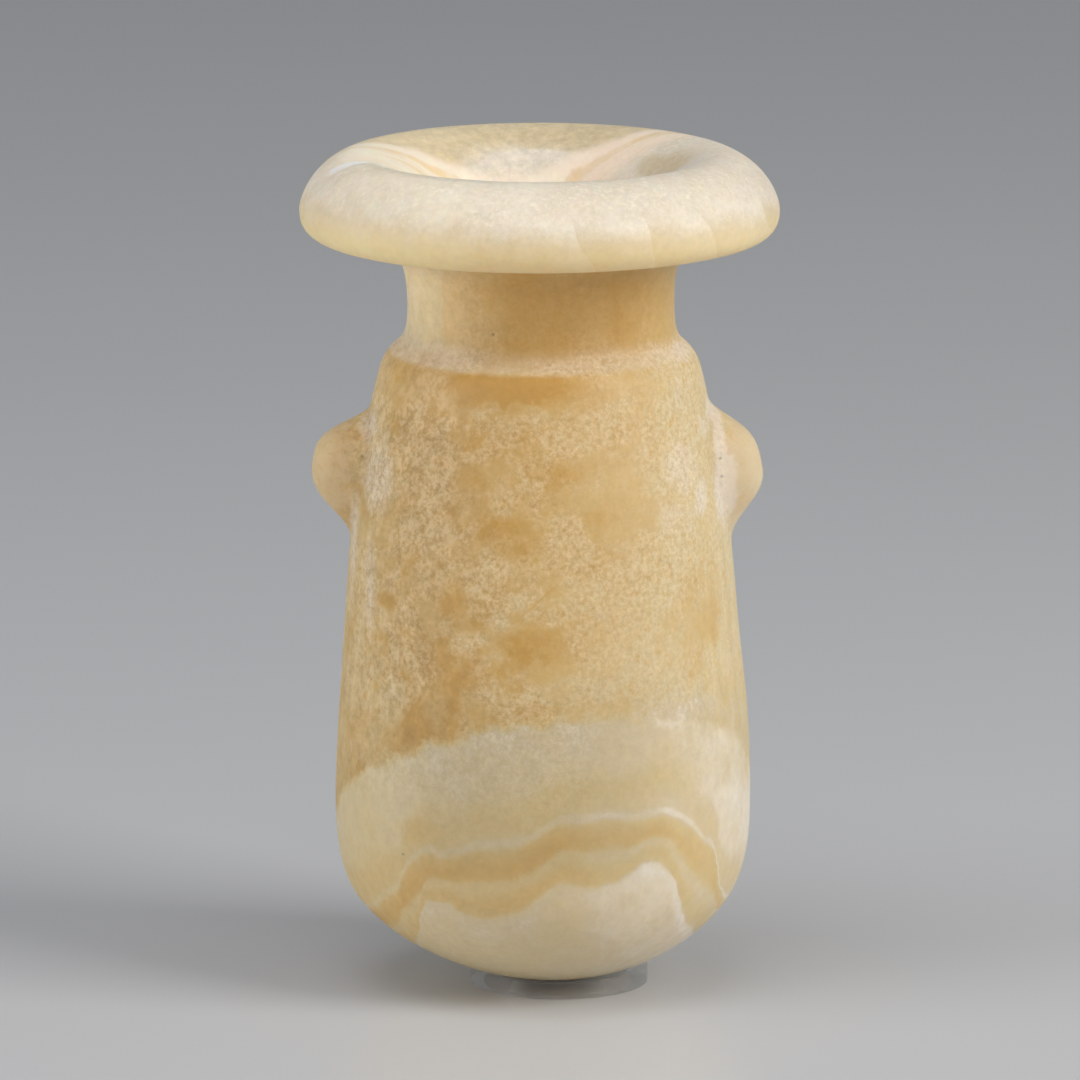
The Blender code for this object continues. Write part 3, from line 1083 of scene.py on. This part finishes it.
def check_fit(name, mesh, low, high):
    """Stops the script if a piece stands further out of its solid's box than the leeway."""
    for axis in range(3):
        places = [vertex.co[axis] for vertex in mesh.verts]
        if min(places) < low[axis] - LEEWAY or max(places) > high[axis] + LEEWAY:
            raise ValueError(f"{name} doesn't fit its solid along {'XYZ'[axis]}")


def finished_piece(name, mesh, material, node):
    """An object from a bmesh, smooth and in its finish, that stands for a node of the frame."""
    check_fit(name, mesh, *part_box(node))
    bmesh.ops.recalc_face_normals(mesh, faces=mesh.faces)
    data = bpy.data.meshes.new(name)
    mesh.to_mesh(data)
    mesh.free()
    data.materials.append(material)
    data.shade_smooth()
    piece = bpy.data.objects.new(name, data)
    bpy.context.scene.collection.objects.link(piece)
    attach(piece, "root")
    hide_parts(node)
    return piece


def carve_stone(settings):
    """The stone: its outside, over the crest and down to the floor inside, as one closed skin."""
    mesh = bmesh.new()
    bearings = crowded_bearings(settings.columns)
    outside = outline(outside_knots())
    inside = outline(inside_knots())[1:]
    rows = []
    for place, (radius, height) in enumerate(outside + inside):
        outer = place < len(outside)
        centre = Vector((axis_shift(height), 0.0, height + LIFT))
        if radius == 0.0:
            rows.append([mesh.verts.new(centre)])
            continue
        row = []
        for bearing in bearings:
            spoke = spoke_to(bearing)
            reach = radius + (lug_relief(bearing, radius, height) if outer else 0.0)
            spot = centre + spoke * reach
            worn = hand_cut(spot, settings.unevenness) * min(1.0, radius / BILGE_RADIUS)
            spot += spoke * worn
            spot.z -= rim_wear(spot, radius, height)
            row.append(mesh.verts.new(spot))
        rows.append(row)
    for lower, upper in zip(rows, rows[1:]):
        join_rows(mesh, lower, upper)
    return mesh


def underside_height(radius):
    """The height of the stone's round underside at this distance from its axis."""
    dome = outline(outside_knots())
    for (inner, low), (outer, high) in zip(dome, dome[1:]):
        if inner <= radius <= outer:
            return low + (high - low) * (radius - inner) / (outer - inner)
    raise ValueError("no underside at this radius")


def rounded_corner(before, corner, after, radius):
    """The points of an arc-like turn that eases the corner between two straight sides."""
    start = corner + (before - corner).normalized() * radius
    end = corner + (after - corner).normalized() * radius
    leaving = start.lerp(corner, CORNER_FULLNESS)
    arriving = end.lerp(corner, CORNER_FULLNESS)
    return interpolate_bezier(start, leaving, arriving, end, CORNER_STEPS + 1)


def cut_ring(settings):
    """The clear ring: a short length of tube with eased edges, its top dished to take the stone."""
    radius = 0.5 * (RING_HIGH.x - RING_LOW.x)
    middle = 0.5 * (RING_HIGH.x + RING_LOW.x)
    bore = radius - settings.wall

    def seat(reach):
        nearest = reach - (middle - axis_shift(0.0))
        return LIFT + underside_height(nearest) - SEAT_GAP

    corners = [
        Vector((bore, 0.0)),
        Vector((radius, 0.0)),
        Vector((radius, seat(radius))),
        Vector((bore, seat(bore))),
    ]
    section = []
    for place, corner in enumerate(corners):
        before = corners[place - 1]
        after = corners[(place + 1) % len(corners)]
        section += rounded_corner(before, corner, after, settings.edge)
    mesh = bmesh.new()
    rows = []
    for point in section:
        row = []
        for column in range(settings.columns):
            bearing = math.tau * column / settings.columns
            spot = (middle + point.x * math.cos(bearing), point.x * math.sin(bearing), point.y)
            row.append(mesh.verts.new(spot))
        rows.append(row)
    for lower, upper in zip(rows, rows[1:] + rows[:1]):
        join_rows(mesh, lower, upper)
    return mesh


def lay_floor(settings):
    """A wide flat floor under everything."""
    mesh = bmesh.new()
    bmesh.ops.create_grid(mesh, x_segments=1, y_segments=1, size=FLOOR_REACH)
    data = bpy.data.meshes.new("floor")
    mesh.to_mesh(data)
    mesh.free()
    data.materials.append(pale_floor(settings))
    floor = bpy.data.objects.new("floor", data)
    bpy.context.scene.collection.objects.link(floor)


def hang_light(name, watts):
    """A lamp that faces the middle of the vase and isn't seen itself."""
    lamp = LAMPS[name]
    data = bpy.data.lights.new(name, "AREA")
    data.energy = watts
    data.size = lamp.size
    data.color = lamp.colour
    light = bpy.data.objects.new(name, data)
    light.location = lamp.place
    light.rotation_euler = (CAMERA_AIM - light.location).to_track_quat("-Z", "Y").to_euler()
    light.visible_camera = False
    bpy.context.scene.collection.objects.link(light)


def light_room(brightness):
    """An even, dim light from all round."""
    world = bpy.data.worlds.new("room")
    world.use_nodes = True
    background = world.node_tree.nodes["Background"]
    background.inputs["Color"].default_value = (*SKY_COLOUR, 1.0)
    background.inputs["Strength"].default_value = brightness
    bpy.context.scene.world = world


def set_camera():
    """A long lens that looks a little down on the vase."""
    data = bpy.data.cameras.new("camera")
    data.sensor_width = 1000.0 * SENSOR_WIDTH
    data.lens = 1000.0 * SENSOR_WIDTH * CAMERA_DISTANCE / FRAME_WIDTH
    data.clip_start = NEAREST_SEEN
    data.clip_end = FURTHEST_SEEN
    camera = bpy.data.objects.new("camera", data)
    back = Vector((0.0, -math.cos(CAMERA_PITCH), math.sin(CAMERA_PITCH)))
    camera.location = CAMERA_AIM + back * CAMERA_DISTANCE
    camera.rotation_euler = (-back).to_track_quat("-Z", "Y").to_euler()
    bpy.context.scene.collection.objects.link(camera)
    bpy.context.scene.camera = camera


# ---------------------------------------------------------------- the add-on


class VASE_OT_carve_stone(Operator):
    """Carve the vase from one banded stone"""

    bl_idname = "alabaster_vase.carve_stone"
    bl_label = "Carve the vase"

    def execute(self, context):
        settings = context.scene.vase_stone
        mesh = carve_stone(settings)
        finished_piece("alabaster_vase", mesh, alabaster(settings), "vase")
        return {"FINISHED"}


class VASE_OT_cut_ring(Operator):
    """Cut the clear ring that the round bottom sits in"""

    bl_idname = "alabaster_vase.cut_ring"
    bl_label = "Cut the clear ring"

    def execute(self, context):
        settings = context.scene.vase_ring
        mesh = cut_ring(settings)
        finished_piece("clear_ring", mesh, clear_acrylic(settings), "display_ring")
        return {"FINISHED"}


class VASE_OT_set_stage(Operator):
    """Lay the pale floor, hang the soft lights and set the camera"""

    bl_idname = "alabaster_vase.set_stage"
    bl_label = "Set the stage"

    def execute(self, context):
        settings = context.scene.vase_stage
        lay_floor(settings)
        hang_light("key", settings.key_power)
        hang_light("top", settings.top_power)
        hang_light("fill", settings.fill_power)
        light_room(settings.sky)
        set_camera()
        context.scene.view_settings.view_transform = "Standard"
        return {"FINISHED"}


class VASE_PT_workshop(Panel):
    """The vase's settings and the steps that make it"""

    bl_label = "Alabaster Vase"
    bl_idname = "VASE_PT_workshop"
    bl_space_type = "VIEW_3D"
    bl_region_type = "UI"
    bl_category = "Alabaster Vase"

    def draw(self, context):
        steps = (
            (VASE_OT_carve_stone, context.scene.vase_stone),
            (VASE_OT_cut_ring, context.scene.vase_ring),
            (VASE_OT_set_stage, context.scene.vase_stage),
        )
        for step, settings in steps:
            box = self.layout.box()
            box.operator(step.bl_idname)
            for name in settings.__annotations__:
                box.prop(settings, name)


CLASSES = (
    StoneSettings,
    RingSettings,
    StageSettings,
    VASE_OT_carve_stone,
    VASE_OT_cut_ring,
    VASE_OT_set_stage,
    VASE_PT_workshop,
)


def register():
    for item in CLASSES:
        bpy.utils.register_class(item)
    bpy.types.Scene.vase_stone = PointerProperty(type=StoneSettings)
    bpy.types.Scene.vase_ring = PointerProperty(type=RingSettings)
    bpy.types.Scene.vase_stage = PointerProperty(type=StageSettings)


def unregister():
    del bpy.types.Scene.vase_stage
    del bpy.types.Scene.vase_ring
    del bpy.types.Scene.vase_stone
    for item in reversed(CLASSES):
        bpy.utils.unregister_class(item)


def main():
    register()
    bpy.ops.alabaster_vase.set_stage()
    bpy.ops.alabaster_vase.carve_stone()
    bpy.ops.alabaster_vase.cut_ring()


if __name__ == "__main__":
    main()
